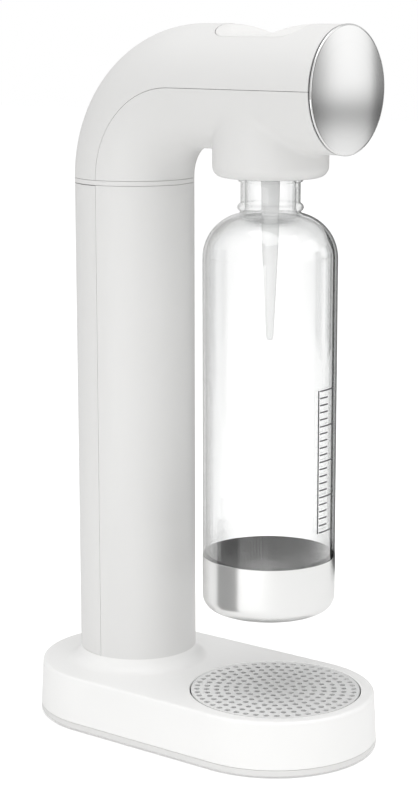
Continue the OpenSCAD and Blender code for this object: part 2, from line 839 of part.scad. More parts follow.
base_plate();
rubber_feet();
base_shell();
tray_well();
base_screws();
drip_tray();
drip_grid();
cylinder_cradle();
inner_frame();
column_front_shell();
rear_cover();
column_ring();
gas_cylinder();
cylinder_valve();
valve_stem();
valve_block();
valve_block_screws();
valve_seal();
plunger();
plunger_spring();
lever();
lever_pin();
hose_fittings();
gas_hose();
head_lower_shell();
head_upper_shell();
thread_ring();
bottle_seal();
carbonation_block();
block_screws();
nozzle_probe();
nozzle_tip();
relief_poppet();
relief_spring();
relief_cap();
safety_valve();
button_guide();
button_springs();
button();
disc_carrier();
front_disc();
bottle_body();
bottle_base_cup();
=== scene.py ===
# %% [markdown]
# # Soda carbonator
# A bent white tube stands on a stadium-shaped base. Its head holds a push button, and a clear
# bottle with a steel cup hangs below it over a drip grid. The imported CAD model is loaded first,
# as a frame that never moves. Every piece made here rides on one of its bodies.

# %% Load the frame
import math
import json
import bpy
import bmesh
import numpy as np
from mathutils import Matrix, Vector


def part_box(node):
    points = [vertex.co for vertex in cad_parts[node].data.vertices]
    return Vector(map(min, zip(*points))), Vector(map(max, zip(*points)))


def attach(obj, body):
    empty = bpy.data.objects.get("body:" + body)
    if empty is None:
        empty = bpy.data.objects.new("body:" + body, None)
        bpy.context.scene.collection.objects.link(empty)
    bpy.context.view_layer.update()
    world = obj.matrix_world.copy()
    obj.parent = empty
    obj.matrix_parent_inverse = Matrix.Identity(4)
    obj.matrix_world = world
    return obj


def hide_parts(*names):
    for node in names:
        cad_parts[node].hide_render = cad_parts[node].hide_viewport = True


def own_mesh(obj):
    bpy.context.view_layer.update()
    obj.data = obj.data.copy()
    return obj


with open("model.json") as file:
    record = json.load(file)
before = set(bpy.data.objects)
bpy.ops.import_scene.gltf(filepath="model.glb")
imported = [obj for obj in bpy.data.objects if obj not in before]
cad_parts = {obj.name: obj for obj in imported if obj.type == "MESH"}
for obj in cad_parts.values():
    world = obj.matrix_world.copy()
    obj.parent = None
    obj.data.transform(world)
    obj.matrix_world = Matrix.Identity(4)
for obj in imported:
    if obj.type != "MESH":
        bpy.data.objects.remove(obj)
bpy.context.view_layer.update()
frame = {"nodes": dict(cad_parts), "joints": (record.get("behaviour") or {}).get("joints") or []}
nodes = frame["nodes"]
scene = bpy.context.scene
MM = 0.001

# %% [markdown]
# A long lens from about 1.3 m keeps the column's sides almost parallel, as a product shot
# does. The camera looks from the column's left and front, a little from above. It is placed
# with an aim point and two angles, because these are easy to read and to change.

# %% Camera
aim = Vector((0, -0.0139, 0.2152))
azimuth, elevation, distance = math.radians(-52.2), math.radians(11.105), 1.2635
back = Vector((math.sin(azimuth) * math.cos(elevation),
               -math.cos(azimuth) * math.cos(elevation), math.sin(elevation)))
camera = bpy.data.objects.new("camera", bpy.data.cameras.new("camera"))
scene.collection.objects.link(camera)
camera.location = aim + back * distance
camera.rotation_euler = (-back).to_track_quat("-Z", "Y").to_euler()
camera.data.lens = 90.4
camera.data.shift_x, camera.data.shift_y = -0.0156, 0.0022
scene.camera = camera
print("camera at", [round(v, 3) for v in camera.location])

# %% [markdown]
# The studio is a white tent: light comes from all round, so shadows are soft. Light from above
# is a little stronger than light from the sides. What the camera sees directly stays white.

# %% World
scene.view_settings.view_transform = "Standard"
world = bpy.data.worlds.new("studio")
scene.world = world
world.use_nodes = True
tree = world.node_tree
tree.nodes.clear()
place = tree.nodes.new("ShaderNodeTexCoord")
split = tree.nodes.new("ShaderNodeSeparateXYZ")
rise = tree.nodes.new("ShaderNodeMapRange")
rise.inputs["From Min"].default_value, rise.inputs["From Max"].default_value = -0.1, 1
rise.inputs["To Min"].default_value, rise.inputs["To Max"].default_value = 0.86, 0.90
tent = tree.nodes.new("ShaderNodeBackground")
plain = tree.nodes.new("ShaderNodeBackground")
plain.inputs["Color"].default_value = (1, 1, 1, 1)
plain.inputs["Strength"].default_value = 1.0
path = tree.nodes.new("ShaderNodeLightPath")
choose = tree.nodes.new("ShaderNodeMixShader")
out = tree.nodes.new("ShaderNodeOutputWorld")
tree.links.new(place.outputs["Generated"], split.inputs[0])
tree.links.new(split.outputs["Z"], rise.inputs["Value"])
tree.links.new(rise.outputs[0], tent.inputs["Strength"])
tree.links.new(path.outputs["Is Camera Ray"], choose.inputs[0])
tree.links.new(tent.outputs[0], choose.inputs[1])
tree.links.new(plain.outputs[0], choose.inputs[2])
tree.links.new(choose.outputs[0], out.inputs["Surface"])
print("view transform:", scene.view_settings.view_transform)

# %% [markdown]
# Softboxes shape the light. A large one in front and to the right lights the head and the round
# sides. The strongest hangs overhead, for the top faces and the floor, and a low one lifts the
# base's left side. Area lights are used because their size sets how soft a shadow is.

# %% Softboxes
def softbox(name, place, target, width, height, power):
    light = bpy.data.lights.new(name, "AREA")
    light.shape = "RECTANGLE"
    light.size, light.size_y, light.energy = width, height, power
    box = bpy.data.objects.new(name, light)
    scene.collection.objects.link(box)
    box.location = place
    box.rotation_euler = (Vector(target) - Vector(place)).to_track_quat("-Z", "Y").to_euler()
    print(name, "at", place, "with", power, "W")


softbox("front_softbox", (0.7, -1.5, 0.9), (0, 0, 0.2), 1.4, 1.2, 2.4)
softbox("top_softbox", (-0.2, -0.4, 1.7), (0, 0, 0.2), 1.4, 1.4, 11)
softbox("low_softbox", (-0.66, -0.1, 0.16), (0, -0.03, 0.02), 0.6, 0.2, 0.7)

# %% [markdown]
# The floor is plain and pale. Its shader glows a little for the camera alone, as a light table
# does, so that it meets the white background without a horizon and keeps a soft shadow.

# %% Floor
def flat_square(name, width, depth, place, turn, colour):
    mesh = bpy.data.meshes.new(name)
    x, y = width / 2, depth / 2
    mesh.from_pydata([(-x, -y, 0), (x, -y, 0), (x, y, 0), (-x, y, 0)], [], [(0, 1, 2, 3)])
    square = bpy.data.objects.new(name, mesh)
    scene.collection.objects.link(square)
    square.location, square.rotation_euler = place, turn
    material = bpy.data.materials.new(name)
    material.use_nodes = True
    shader = material.node_tree.nodes["Principled BSDF"]
    shader.inputs["Base Color"].default_value = (*colour, 1)
    shader.inputs["Roughness"].default_value = 0.8
    shader.inputs["Specular IOR Level"].default_value = 0.2
    mesh.materials.append(material)
    print(name, "is stage, not part of the object")
    return square


floor = flat_square("floor", 12, 12, (0, 0, 0), (0, 0, 0), (0.93, 0.93, 0.925))
tree = floor.data.materials[0].node_tree
shader = tree.nodes["Principled BSDF"]
shader.inputs["Emission Color"].default_value = (1, 1, 1, 1)
glow = tree.nodes.new("ShaderNodeMath")
glow.operation = "MULTIPLY"
glow.inputs[1].default_value = 0.4
tree.links.new(tree.nodes.new("ShaderNodeLightPath").outputs["Is Camera Ray"], glow.inputs[0])
tree.links.new(glow.outputs[0], shader.inputs["Emission Strength"])

# %% [markdown]
# Steel and clear plastic only look right when they have something dark to mirror. A black card
# behind and to the right draws a dark line down the bottle's edge, and a grey one on the left
# draws the cup's grey band. They stand close: the view comes from a little above, so a low
# mirror shows what is near the floor. The camera doesn't see the cards, and they leave the
# plastic's own light and shadow alone.

# %% Dark cards
cards_centre_y = -0.112


def card(name, width, height, direction, distance, shade):
    angle = math.radians(direction)
    square = flat_square(name, width, height,
                         (math.cos(angle) * distance,
                          math.sin(angle) * distance + cards_centre_y, height / 2),
                         (math.radians(90), 0, angle + math.radians(90)), (shade, shade, shade))
    square.visible_camera = square.visible_diffuse = square.visible_shadow = False
    return square


card("edge_card", 0.4, 0.45, direction=18, distance=0.42, shade=0.005)
card("band_card", 0.12, 0.12, direction=134, distance=0.2, shade=0.4)

# %% [markdown]
# The round plate mirrors one part of the studio, so that part decides its whole look. A
# graduated card stands there: it glows bright at the top, falls to a soft dark band, and rises
# again, and it darkens at both sides. Two colour ramps over the card's own axes do this.

# %% Graduated card
def along_card(tree, axis, size, stops):
    where = tree.nodes.new("ShaderNodeSeparateXYZ")
    tree.links.new(tree.nodes.new("ShaderNodeTexCoord").outputs["Object"], where.inputs[0])
    share = tree.nodes.new("ShaderNodeMapRange")
    share.inputs["From Min"].default_value = -size / 2
    share.inputs["From Max"].default_value = size / 2
    tree.links.new(where.outputs[axis], share.inputs["Value"])
    ramp = tree.nodes.new("ShaderNodeValToRGB")
    ramp.color_ramp.interpolation = "B_SPLINE"
    for k, (at, level) in enumerate(stops):
        stop = ramp.color_ramp.elements[k] if k < 2 else ramp.color_ramp.elements.new(1.0)
        stop.position, stop.color = (at + size / 2) / size, (level, level, level, 1)
    tree.links.new(share.outputs[0], ramp.inputs[0])
    return ramp.outputs[0]


card_w, card_h, card_glow = 1.2, 0.7, 1.2
glowing = card("graduated_card", card_w, card_h, direction=-37, distance=1.4, shade=0)
tree = glowing.data.materials[0].node_tree
shader = tree.nodes["Principled BSDF"]
shader.inputs["Emission Color"].default_value = (1, 1, 1, 1)
heights = [(0.10, 0.9), (0.21, 0.76), (0.265, 0.36), (0.30, 0.42), (0.335, 0.74), (0.38, 0.95),
           (0.60, 1.0)]
up = along_card(tree, 1, card_h, [(z - card_h / 2, level) for z, level in heights])
side = along_card(tree, 0, card_w, [(-0.30, 0.2), (-0.20, 0.3), (-0.09, 0.85), (0.0, 1.0),
                                    (0.23, 1.0), (0.275, 0.15)])
both = tree.nodes.new("ShaderNodeMath")
both.operation = "MULTIPLY"
tree.links.new(up, both.inputs[0])
tree.links.new(side, both.inputs[1])
strong = tree.nodes.new("ShaderNodeMath")
strong.operation = "MULTIPLY"
strong.inputs[1].default_value = card_glow
tree.links.new(both.outputs[0], strong.inputs[0])
tree.links.new(strong.outputs[0], shader.inputs["Emission Strength"])

# %% [markdown]
# ## Finishes
# Effects that several materials share are node groups. `moulded_skin` is the surface that a
# mould leaves on plastic: a very fine grain in height and gloss, and a slow drift in tone.
# All of it comes from noise over the object's own coordinates, so it needs no unwrapping.

# %% Shared effects: helpers and moulded skin
def effect(name, inputs, outputs):
    group = bpy.data.node_groups.new(name, "ShaderNodeTree")
    for label, kind, value in inputs:
        socket = group.interface.new_socket(label, in_out="INPUT", socket_type=kind)
        socket.default_value = value
    for label, kind in outputs:
        group.interface.new_socket(label, in_out="OUTPUT", socket_type=kind)
    return group, group.nodes.new("NodeGroupInput"), group.nodes.new("NodeGroupOutput")


def noise(group, scale, detail, vector):
    node = group.nodes.new("ShaderNodeTexNoise")
    node.inputs["Scale"].default_value = scale
    node.inputs["Detail"].default_value = detail
    group.links.new(vector, node.inputs["Vector"])
    return node.outputs[0]


def maths(group, kind, a, b):
    node = group.nodes.new("ShaderNodeMath")
    node.operation = kind
    for socket, value in zip(node.inputs, (a, b)):
        if isinstance(value, (int, float)):
            socket.default_value = value
        else:
            group.links.new(value, socket)
    return node.outputs[0]


def blend_colours(group, factor, one, two):
    node = group.nodes.new("ShaderNodeMix")
    node.data_type = "RGBA"
    group.links.new(factor, node.inputs[0])
    group.links.new(one, node.inputs[6])
    group.links.new(two, node.inputs[7])
    return node.outputs[2]


def between(group, factor, low, high):
    node = group.nodes.new("ShaderNodeMapRange")
    group.links.new(factor, node.inputs["Value"])
    group.links.new(low, node.inputs["To Min"])
    group.links.new(high, node.inputs["To Max"])
    return node.outputs[0]


COLOUR, NUMBER, ARROW = "NodeSocketColor", "NodeSocketFloat", "NodeSocketVector"
skin_group, into, outof = effect(
    "moulded_skin",
    [("Colour", COLOUR, (0.8, 0.8, 0.8, 1)), ("Shaded colour", COLOUR, (0.7, 0.7, 0.7, 1)),
     ("Grain", NUMBER, 2500), ("Rough low", NUMBER, 0.35), ("Rough high", NUMBER, 0.5)],
    [("Colour", COLOUR), ("Roughness", NUMBER), ("Height", NUMBER)])
spot = skin_group.nodes.new("ShaderNodeTexCoord").outputs["Object"]
drift = noise(skin_group, 9, 2, spot)
grain = skin_group.nodes.new("ShaderNodeTexNoise")
grain.inputs["Detail"].default_value = 3
skin_group.links.new(spot, grain.inputs["Vector"])
skin_group.links.new(into.outputs["Grain"], grain.inputs["Scale"])
tone = maths(skin_group, "ADD", maths(skin_group, "MULTIPLY", drift, 0.7),
             maths(skin_group, "MULTIPLY", grain.outputs[0], 0.3))
skin_group.links.new(blend_colours(skin_group, tone, into.outputs["Colour"],
                                   into.outputs["Shaded colour"]), outof.inputs["Colour"])
skin_group.links.new(between(skin_group, tone, into.outputs["Rough low"],
                             into.outputs["Rough high"]), outof.inputs["Roughness"])
skin_group.links.new(grain.outputs[0], outof.inputs["Height"])
print("group", skin_group.name, "has", len(skin_group.nodes), "nodes")

# %% [markdown]
# `turned_lines` is the finish of spun or turned metal: fine lines that run round an axis. The
# noise reads only a point's distance from the axis and its place along it, so each line closes
# on itself. A slow smudge on top stands for handling.

# %% Shared effect: turned lines
turned_group, into, outof = effect(
    "turned_lines",
    [("Colour", COLOUR, (0.7, 0.7, 0.7, 1)), ("Line colour", COLOUR, (0.5, 0.5, 0.5, 1)),
     ("Centre", ARROW, (0, 0, 0)), ("Across", ARROW, (1, 1, 0)), ("Along", ARROW, (0, 0, 1)),
     ("Lines", NUMBER, 2500), ("Rough low", NUMBER, 0.15), ("Rough high", NUMBER, 0.3)],
    [("Colour", COLOUR), ("Roughness", NUMBER), ("Height", NUMBER)])


def vector_maths(group, kind, a, b, out=0):
    node = group.nodes.new("ShaderNodeVectorMath")
    node.operation = kind
    group.links.new(a, node.inputs[0])
    if b is not None:
        group.links.new(b, node.inputs[1])
    return node.outputs[out]


spot = turned_group.nodes.new("ShaderNodeTexCoord").outputs["Object"]
from_centre = vector_maths(turned_group, "SUBTRACT", spot, into.outputs["Centre"])
radius = vector_maths(turned_group, "LENGTH", vector_maths(
    turned_group, "MULTIPLY", from_centre, into.outputs["Across"]), None, out=1)
along = vector_maths(turned_group, "DOT_PRODUCT", from_centre, into.outputs["Along"], out=1)
pair = turned_group.nodes.new("ShaderNodeCombineXYZ")
turned_group.links.new(radius, pair.inputs[0])
turned_group.links.new(along, pair.inputs[1])
lines = turned_group.nodes.new("ShaderNodeTexNoise")
lines.inputs["Detail"].default_value = 4
lines.inputs["Roughness"].default_value = 0.7
turned_group.links.new(pair.outputs[0], lines.inputs["Vector"])
turned_group.links.new(into.outputs["Lines"], lines.inputs["Scale"])
smudge = noise(turned_group, 30, 2, spot)
tone = maths(turned_group, "ADD", maths(turned_group, "MULTIPLY", lines.outputs[0], 0.7),
             maths(turned_group, "MULTIPLY", smudge, 0.3))
turned_group.links.new(blend_colours(turned_group, tone, into.outputs["Colour"],
                                     into.outputs["Line colour"]), outof.inputs["Colour"])
turned_group.links.new(between(turned_group, tone, into.outputs["Rough low"],
                               into.outputs["Rough high"]), outof.inputs["Roughness"])
turned_group.links.new(lines.outputs[0], outof.inputs["Height"])
print("group", turned_group.name, "has", len(turned_group.nodes), "nodes")

# %% [markdown]
# Each finish is one material: a Principled shader fed by a shared effect, with a Bump node
# between the effect's height and the shader. The values differ, the wiring is the same, so one
# helper builds them all. Its last argument sets plain values on the shader's own sockets.

# %% Materials from the effects
materials = {}


def finish_material(name, group, settings, bump_depth, **plain):
    material = bpy.data.materials.new(name)
    material.use_nodes = True
    tree = material.node_tree
    shader = tree.nodes["Principled BSDF"]
    used = tree.nodes.new("ShaderNodeGroup")
    used.node_tree = group
    for label, value in settings.items():
        used.inputs[label].default_value = value
    bump = tree.nodes.new("ShaderNodeBump")
    bump.inputs["Distance"].default_value = bump_depth
    bump.inputs["Strength"].default_value = 0.5
    tree.links.new(used.outputs["Height"], bump.inputs["Height"])
    tree.links.new(bump.outputs[0], shader.inputs["Normal"])
    tree.links.new(used.outputs["Colour"], shader.inputs["Base Color"])
    tree.links.new(used.outputs["Roughness"], shader.inputs["Roughness"])
    for label, value in plain.items():
        shader.inputs[label.replace("_", " ")].default_value = value
    materials[name] = material
    print("finish", name)


def plastic(name, colour, shade, grain, low, high, bump=0.02 * MM, **plain):
    finish_material(name, skin_group, {
        "Colour": (*colour, 1), "Shaded colour": (*shade, 1), "Grain": grain,
        "Rough low": low, "Rough high": high}, bump, **plain)


def metal(name, colour, line, lines, low, high, centre=(0, 0, 0), across=(1, 1, 0),
          along=(0, 0, 1), **plain):
    finish_material(name, turned_group, {
        "Colour": (*colour, 1), "Line colour": (*line, 1), "Centre": centre, "Across": across,
        "Along": along, "Lines": lines, "Rough low": low, "Rough high": high}, 0.01 * MM,
        **{"Metallic": 1.0, **plain})


plastic("shell_white", (0.77, 0.768, 0.76), (0.755, 0.752, 0.744), 2600, 0.38, 0.48)
# The base's white is the shell white made brighter: painted light for the stronger light on the
# base.
plastic("base_white_painted_light", (0.92, 0.918, 0.91), (0.91, 0.908, 0.90), 2600, 0.34, 0.44)
plastic("button_white", (0.82, 0.815, 0.805), (0.805, 0.80, 0.79), 3400, 0.30, 0.38)
plastic("tray_grey", (0.06, 0.06, 0.065), (0.05, 0.05, 0.055), 2200, 0.45, 0.6)
plastic("frame_plastic", (0.55, 0.56, 0.57), (0.50, 0.51, 0.52), 1800, 0.45, 0.6)
plastic("carrier_grey", (0.07, 0.07, 0.075), (0.05, 0.05, 0.055), 1800, 0.4, 0.55)
plastic("rubber_grey", (0.10, 0.10, 0.105), (0.07, 0.07, 0.075), 1500, 0.75, 0.9)
plastic("seal_rubber", (0.03, 0.03, 0.032), (0.02, 0.02, 0.022), 1500, 0.6, 0.8)
plastic("cylinder_paint", (0.35, 0.40, 0.45), (0.31, 0.36, 0.41), 1200, 0.35, 0.5,
        bump=0.08 * MM)
plastic("nozzle_white", (0.96, 0.965, 0.96), (0.92, 0.925, 0.92), 900, 0.22, 0.3)
cup_low, cup_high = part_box("bottle_base_cup")
disc_low, disc_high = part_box("front_disc")
column_low, column_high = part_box("column_ring")
bottle_axis = (cup_low + cup_high) / 2
disc_centre = (disc_low + disc_high) / 2
column_axis = (column_low + column_high) / 2
metal("cup_steel", (0.90, 0.90, 0.895), (0.84, 0.84, 0.835), 1600, 0.17, 0.25,
      centre=bottle_axis)
metal("plate_steel", (0.86, 0.86, 0.855), (0.80, 0.80, 0.795), 1500, 0.08, 0.14,
      centre=disc_centre, across=(1, 0, 1), along=(0, 1, 0))
metal("grid_steel", (0.97, 0.97, 0.965), (0.93, 0.93, 0.925), 900, 0.4, 0.5,
      across=(1, 0, 0), along=(0, 0, 1), Metallic=0.35)
metal("zinc_steel", (0.60, 0.61, 0.62), (0.48, 0.49, 0.51), 1200, 0.28, 0.45,
      centre=column_axis)
metal("spring_steel", (0.50, 0.51, 0.53), (0.38, 0.39, 0.41), 1500, 0.25, 0.4,
      centre=column_axis)
metal("valve_brass", (0.78, 0.60, 0.30), (0.64, 0.47, 0.22), 1400, 0.22, 0.36,
      centre=column_axis)
metal("block_aluminium", (0.72, 0.73, 0.74), (0.62, 0.63, 0.64), 1300, 0.28, 0.42,
      centre=column_axis)

# %% [markdown]
# The bottle is clear polyester. Light goes straight through its thin wall, so it is mixed from
# a transparent and a mirror-like shader. The more the eye runs along the wall, the more it
# mirrors. A slight tint is strongest where the wall is seen at a slant.

# %% Clear polyester
clear = bpy.data.materials.new("bottle_clear")
clear.use_nodes = True
tree = clear.node_tree
tree.nodes.clear()
facing = tree.nodes.new("ShaderNodeLayerWeight")
facing.inputs["Blend"].default_value = 0.5
tint = tree.nodes.new("ShaderNodeValToRGB")
tint.color_ramp.elements.new(0.8)
for stop, shade in zip(tint.color_ramp.elements, (1.0, 0.96, 1.0)):
    stop.color = (shade, shade ** 0.9, shade ** 0.9, 1)
through = tree.nodes.new("ShaderNodeBsdfTransparent")
mirror = tree.nodes.new("ShaderNodeBsdfGlossy")
mirror.inputs["Roughness"].default_value = 0.03
mirror.inputs["Color"].default_value = (1, 1, 1, 1)
steep = tree.nodes.new("ShaderNodeMath")
steep.operation = "POWER"
steep.inputs[1].default_value = 2.0
shine = tree.nodes.new("ShaderNodeMapRange")
shine.inputs["To Min"].default_value, shine.inputs["To Max"].default_value = 0.035, 1.0
mix = tree.nodes.new("ShaderNodeMixShader")
out = tree.nodes.new("ShaderNodeOutputMaterial")
tree.links.new(facing.outputs["Facing"], tint.inputs[0])
tree.links.new(tint.outputs[0], through.inputs["Color"])
tree.links.new(facing.outputs["Facing"], steep.inputs[0])
tree.links.new(steep.outputs[0], shine.inputs["Value"])
tree.links.new(shine.outputs[0], mix.inputs[0])
tree.links.new(through.outputs[0], mix.inputs[1])
tree.links.new(mirror.outputs[0], mix.inputs[2])
tree.links.new(mix.outputs[0], out.inputs["Surface"])
materials["bottle_clear"] = clear
print("finish bottle_clear")

# %% [markdown]
# Every CAD node keeps its exact shape and swaps the plain material it came with for the finish
# of the same name. The base's two mouldings get a finish of their own, a brighter white than the
# column's: painted light, standing in for the stronger light that falls on the base.

# %% Finishes on the CAD nodes
for name, node in sorted(nodes.items()):
    for place in node.material_slots:
        finish = place.material.name.split(".")[0]
        # The base's mouldings take the brighter copy of the shell white, which is painted light.
        if name in ("base_shell", "tray_well") and finish == "shell_white":
            finish = "base_white_painted_light"
        place.material = materials[finish]
in_use = {place.material.name for node in nodes.values() for place in node.material_slots}
print("finishes in use:", sorted(in_use))

# %% [markdown]
# ## Pieces that are made again as finer meshes
# Most pieces of this appliance are round. A helper turns an outline of radius and height about
# an upright axis, and rounded corners in the outline come from a second helper. Turning a
# drawn outline gives clean quads and lets each corner have its true radius.

# %% Helpers: outlines, turning, and one piece
def arc(centre_r, centre_z, radius, start, end, steps):
    angles = [math.radians(start + (end - start) * i / steps) for i in range(steps + 1)]
    return [(centre_r + radius * math.cos(a), centre_z + radius * math.sin(a)) for a in angles]


def turned(outline, x, y, steps=160, closed=False):
    points, faces = [], []
    rows = []
    for radius, height in outline:
        if radius < 1e-6:
            rows.append([len(points)] * steps)
            points.append((x, y, height))
            continue
        rows.append(list(range(len(points), len(points) + steps)))
        points += [(x + radius * math.cos(2 * math.pi * i / steps),
                    y + radius * math.sin(2 * math.pi * i / steps), height)
                   for i in range(steps)]
    pairs = list(zip(rows, rows[1:] + rows[:1])) if closed else list(zip(rows, rows[1:]))
    for low, high in pairs:
        for i in range(steps):
            n = (i + 1) % steps
            corners = []
            for corner in (low[i], low[n], high[n], high[i]):
                if corner not in corners:
                    corners.append(corner)
            if len(corners) > 2:
                faces.append(tuple(corners))
    return points, faces


def add_piece(name, points, faces, body, slot, replaced=(), sharp=32):
    mesh = bpy.data.meshes.new(name)
    mesh.from_pydata([tuple(p) for p in points], [], faces)
    work = bmesh.new()
    work.from_mesh(mesh)
    bmesh.ops.remove_doubles(work, verts=work.verts, dist=1e-7)
    bmesh.ops.recalc_face_normals(work, faces=work.faces)
    work.to_mesh(mesh)
    work.free()
    mesh.shade_smooth()
    mesh.set_sharp_from_angle(angle=math.radians(sharp))
    mesh.materials.append(materials[slot])
    piece = bpy.data.objects.new(name, mesh)
    scene.collection.objects.link(piece)
    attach(piece, body)
    if replaced:
        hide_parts(*replaced)
    print(name, len(mesh.vertices), "points,", len(mesh.polygons), "faces, rides on", body)
    return piece


# %% [markdown]
# The lower half of the head is one moulding: half a bent tube that runs into a round collar
# with a soft valley between them. A plain union would leave a hard edge there. So its surface
# is described as a distance field, a function that is negative inside and zero on the surface,
# where a smooth minimum melts the two shapes together.

# %% Head: sizes from the frame, and its distance field
upper_low, upper_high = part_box("head_upper_shell")
block_low, block_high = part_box("carbonation_block")
tube_r = (upper_high.x - upper_low.x) / 2
head_z = upper_high.z - tube_r
column_y = upper_high.y - tube_r
bend_z = upper_low.z
bend_r = head_z - bend_z
bend_y = column_y - bend_r
head_end = upper_low.y
bottle_y = bottle_axis.y
block_r = (block_high.x - block_low.x) / 2
shell_wall = 2.5 * MM
collar_r = block_r + 1.9 * MM + shell_wall
collar_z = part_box("thread_ring")[0].z - shell_wall
collar_round = 7 * MM
valley = 2.5 * MM
half_seam = 0.125 * MM
print("tube radius", round(tube_r / MM, 2), "collar radius", round(collar_r / MM, 2), "mm")


def tube_field(p):
    x, y, z = p[..., 0], p[..., 1], p[..., 2]
    bend = np.hypot(y - bend_y, z - bend_z) - bend_r
    return np.hypot(x, np.where(y < bend_y, z - head_z, bend)) - tube_r


def collar_field(p):
    out = np.hypot(p[..., 0], p[..., 1] - bottle_y) - (collar_r - collar_round)
    down = (collar_z + collar_round) - p[..., 2]
    corner = np.hypot(np.maximum(out, 0), np.maximum(down, 0))
    return corner + np.minimum(np.maximum(out, down), 0) - collar_round


def head_field(p):
    one, two = tube_field(p), collar_field(p)
    mix = np.clip(0.5 + 0.5 * (two - one) / valley, 0, 1)
    return two + (one - two) * mix - valley * mix * (1 - mix)


def slope(field, p, step=1e-5):
    parts = []
    for axis in np.eye(3) * step:
        parts.append((field(p + axis) - field(p - axis)) / (2 * step))
    return np.stack(parts, -1)


# %% [markdown]
# A mesh is then laid on the field: one point for each grid cell that the surface crosses, moved
# onto it along the field's slope. Points are also evened out among their neighbours, because
# cells that the surface only clips at a corner would leave thin, crowded faces.

# %% Head: a mesh laid on a field
def settle(field, p, rounds):
    for _ in range(rounds):
        g = slope(field, p)
        p = p - (field(p) / np.maximum((g ** 2).sum(-1), 1e-6))[..., None] * g
    return p


def mesh_on(field, low, high, step):
    axes = [np.arange(low[k], high[k] + step, step) for k in range(3)]
    value = field(np.stack(np.meshgrid(*axes, indexing="ij"), -1))
    inside = value < 0
    n = [s - 1 for s in inside.shape]
    corners = [inside[i:n[0] + i, j:n[1] + j, k:n[2] + k]
               for i in (0, 1) for j in (0, 1) for k in (0, 1)]
    crossed = np.any(corners, axis=0) & ~np.all(corners, axis=0)
    number = -np.ones(crossed.shape, int)
    number[crossed] = np.arange(crossed.sum())
    cells = np.argwhere(crossed)
    points = np.array([[axes[k][c[k]] + step / 2 for k in range(3)] for c in cells])
    points = settle(field, points, 8)
    faces = []
    for axis in range(3):
        one, two = [k for k in range(3) if k != axis]
        here = np.take(inside, range(n[axis]), axis)
        there = np.take(inside, range(1, n[axis] + 1), axis)
        for cell in np.argwhere(here != there):
            if min(cell[one], cell[two]) < 1 or cell[one] >= n[one] or cell[two] >= n[two]:
                continue
            ring = []
            for a, b in ((0, 0), (1, 0), (1, 1), (0, 1)):
                c = cell.copy()
                c[one] -= a
                c[two] -= b
                ring.append(number[tuple(c)])
            if here[tuple(cell)] == (axis == 1):
                ring.reverse()
            faces.append(tuple(ring))
    return points, faces


def relaxed(field, points, faces, rounds, own_share=0.4):
    links = np.array([(f[i], f[(i + 1) % len(f)]) for f in faces for i in range(len(f))])
    links = np.concatenate([links, links[:, ::-1]])
    count = np.bincount(links[:, 0], minlength=len(points))[:, None]
    for _ in range(rounds):
        total = np.zeros_like(points)
        np.add.at(total, links[:, 0], points[links[:, 1]])
        evened = points * own_share + total / np.maximum(count, 1) * (1 - own_share)
        points = settle(field, np.where(count > 3, evened, points), 2)
    return points


# %% [markdown]
# The seams are cut exactly. Each face is clipped where a cutting function is zero, so the new
# edge lies on the seam itself. The sheet then gets its wall: every point is copied inwards
# along the surface's own direction, and the open edges of both sheets are joined.

# %% Head: clipping and wall
def clipped(points, faces, keep, halvings=24):
    points = list(points)
    value = list(keep(np.array(points)))
    made, kept = {}, []
    for face in faces:
        if all(value[i] <= 0 for i in face):
            kept.append(face)
            continue
        if all(value[i] > 0 for i in face):
            continue
        ring = []
        for i, j in zip(face, face[1:] + face[:1]):
            if value[i] <= 0:
                ring.append(i)
            if (value[i] <= 0) != (value[j] <= 0):
                key = (min(i, j), max(i, j))
                if key not in made:
                    a, b = np.array(points[key[0]]), np.array(points[key[1]])
                    low, high = (0.0, 1.0) if value[key[0]] <= 0 else (1.0, 0.0)
                    for _ in range(halvings):
                        middle = (low + high) / 2
                        if keep((a + (b - a) * middle)[None])[0] <= 0:
                            low = middle
                        else:
                            high = middle
                    made[key] = len(points)
                    points.append(a + (b - a) * low)
                    value.append(0.0)
                ring.append(made[key])
        if len(ring) > 2:
            kept.append(tuple(ring))
    used = sorted({i for face in kept for i in face})
    new = {old: k for k, old in enumerate(used)}
    return np.array([points[i] for i in used]), [tuple(new[i] for i in face) for face in kept]


def walled(field, points, faces, wall):
    normal = slope(field, points)
    normal /= np.linalg.norm(normal, axis=1)[:, None]
    inner = points - normal * wall
    count = len(points)
    edges = {}
    for face in faces:
        for i, j in zip(face, face[1:] + face[:1]):
            edges[(i, j)] = edges.get((i, j), 0) + 1
    rim = [(j, i, i + count, j + count) for i, j in edges if (j, i) not in edges]
    back = [tuple(i + count for i in reversed(face)) for face in faces]
    return np.concatenate([points, inner]), faces + back + rim


# %% [markdown]
# Four cuts turn the whole surface into the lower shell: the seam to the upper shell, the joint
# to the column's ring, the open end behind the round plate, and the collar's mouth, which the
# bottle's neck passes through.

# %% Head: the lower shell
cell = 1.4 * MM
margin = 3 * cell
mouth_r = 22 * MM
points, faces = mesh_on(head_field, (-tube_r - margin, head_end - margin, bend_z - margin),
                        (tube_r + margin, column_y + margin, head_z + margin), cell)
points = relaxed(head_field, points, faces, 6)
cuts = [
    lambda p: np.where(p[:, 1] < bend_y, p[:, 2] - head_z,
                       np.hypot(p[:, 1] - bend_y, p[:, 2] - bend_z) - bend_r) + half_seam,
    lambda p: bend_z - p[:, 2],
    lambda p: head_end - p[:, 1],
    lambda p: np.where(p[:, 2] < collar_z + shell_wall,
                       mouth_r - np.hypot(p[:, 0], p[:, 1] - bottle_y), -1.0)]
for cut in cuts:
    points, faces = clipped(points, faces, cut)
points, faces = walled(head_field, points, faces, shell_wall)
add_piece("head_lower", points, faces, "root", "shell_white", ["head_lower_shell"], sharp=40)

# %% [markdown]
# The button is a thumb rest: a long pad flush with the tube, with a hollow across it. Its top
# is a height over rings that shrink from its outline to a middle line, so the mesh follows
# the outline and its edge can be rounded. Two posts guide it and a thick peg pushes the lever.

